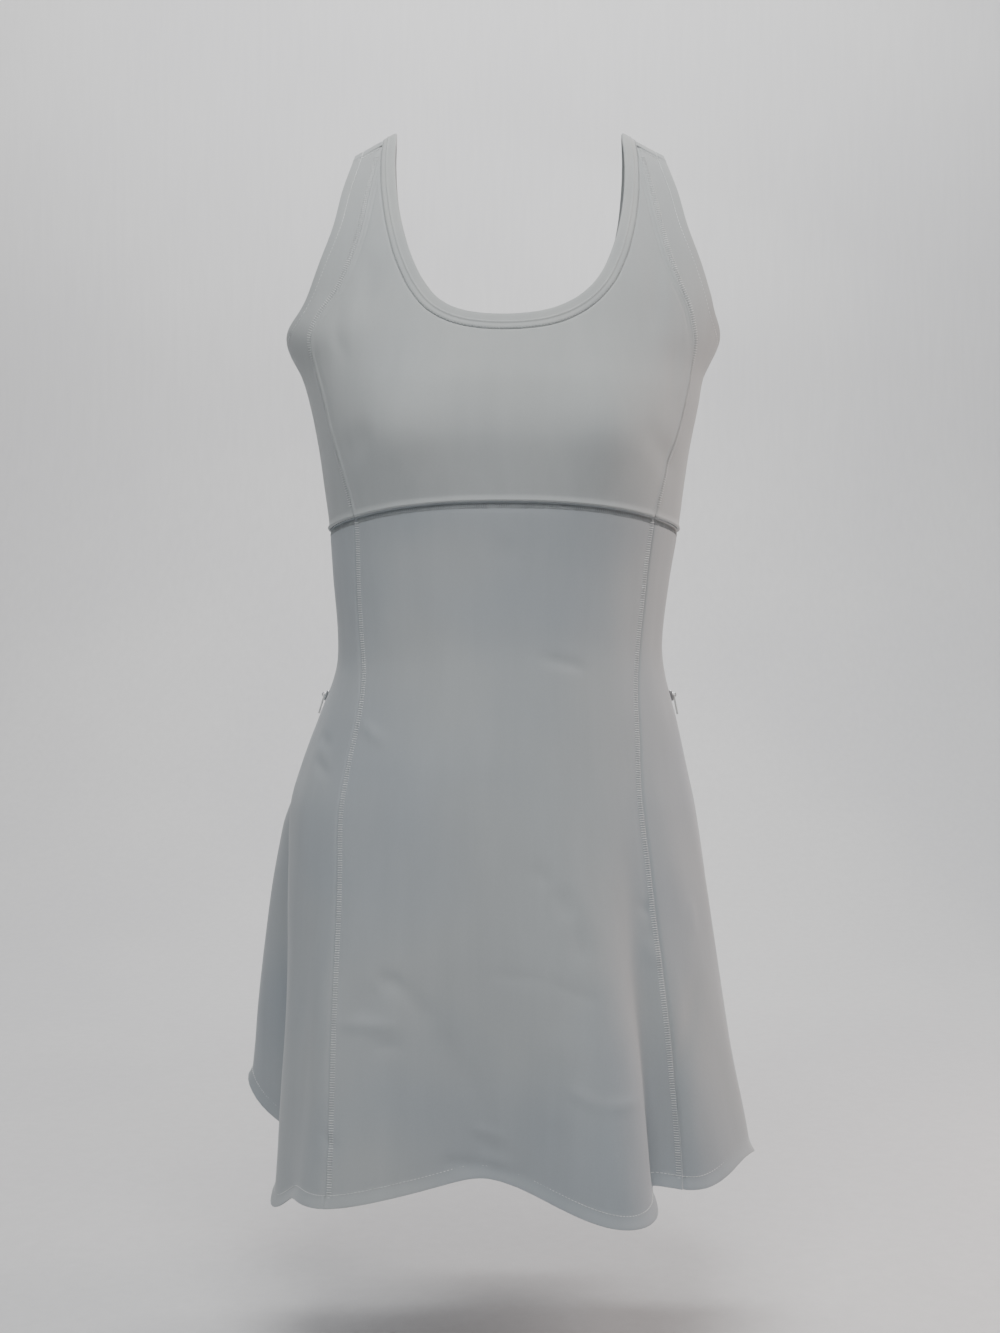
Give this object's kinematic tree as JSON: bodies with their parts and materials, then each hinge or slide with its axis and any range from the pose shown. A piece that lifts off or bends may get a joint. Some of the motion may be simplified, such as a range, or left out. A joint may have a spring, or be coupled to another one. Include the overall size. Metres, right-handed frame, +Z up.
{
  "type": "athletic dress",
  "caption": "Sleeveless athletic dress in worn form: scoop neck, princess seams, underbust seam, flared skirt and zip pockets at the side seams.",
  "frame": {"origin": "midway between the shoulder straps, at the height of the middle of their tops", "axes": "+Z up the dress, the front faces -Y, +X to the wearer's left"},
  "size_m": [0.3956, 0.3366, 0.8016],
  "materials": {
    "bodice": "fine matt stretch jersey, light cool grey",
    "skirt": "fine matt stretch jersey, light cool grey",
    "binding": "folded jersey binding with a stitched line",
    "zip_tape": "woven zip tape with fine closed teeth",
    "zip_metal": "satin, light grey",
    "zip_pull": "soft matt tab"
  },
  "bodies": {
    "dress": {"front_bust": "bodice", "arm_panel_left": "bodice", "arm_panel_right": "bodice", "back_bodice": "bodice", "neck_binding": "binding", "skirt_front_centre": "skirt", "skirt_front_side_left": "skirt", "skirt_front_side_right": "skirt", "skirt_back_centre": "skirt", "skirt_back_side_left": "skirt", "skirt_back_side_right": "skirt", "zip_tape_left": "zip_tape", "zip_tape_right": "zip_tape", "slider_left": "zip_metal", "slider_right": "zip_metal"},
    "pull_tab_left": {"pull_left": "zip_pull"},
    "pull_tab_right": {"pull_right": "zip_pull"}
  },
  "joints": [
    {"name": "pull_left_hinge", "type": "hinge", "parent": "dress", "child": "pull_tab_left", "pos_m": [0.13015, 0, -0.41763], "axis": [0, -1, 0], "range_deg": [0, 150]},
    {"name": "pull_right_hinge", "type": "hinge", "parent": "dress", "child": "pull_tab_right", "pos_m": [-0.13769, 0, -0.4173], "axis": [0, 1, 0], "range_deg": [0, 150]}
  ]
}
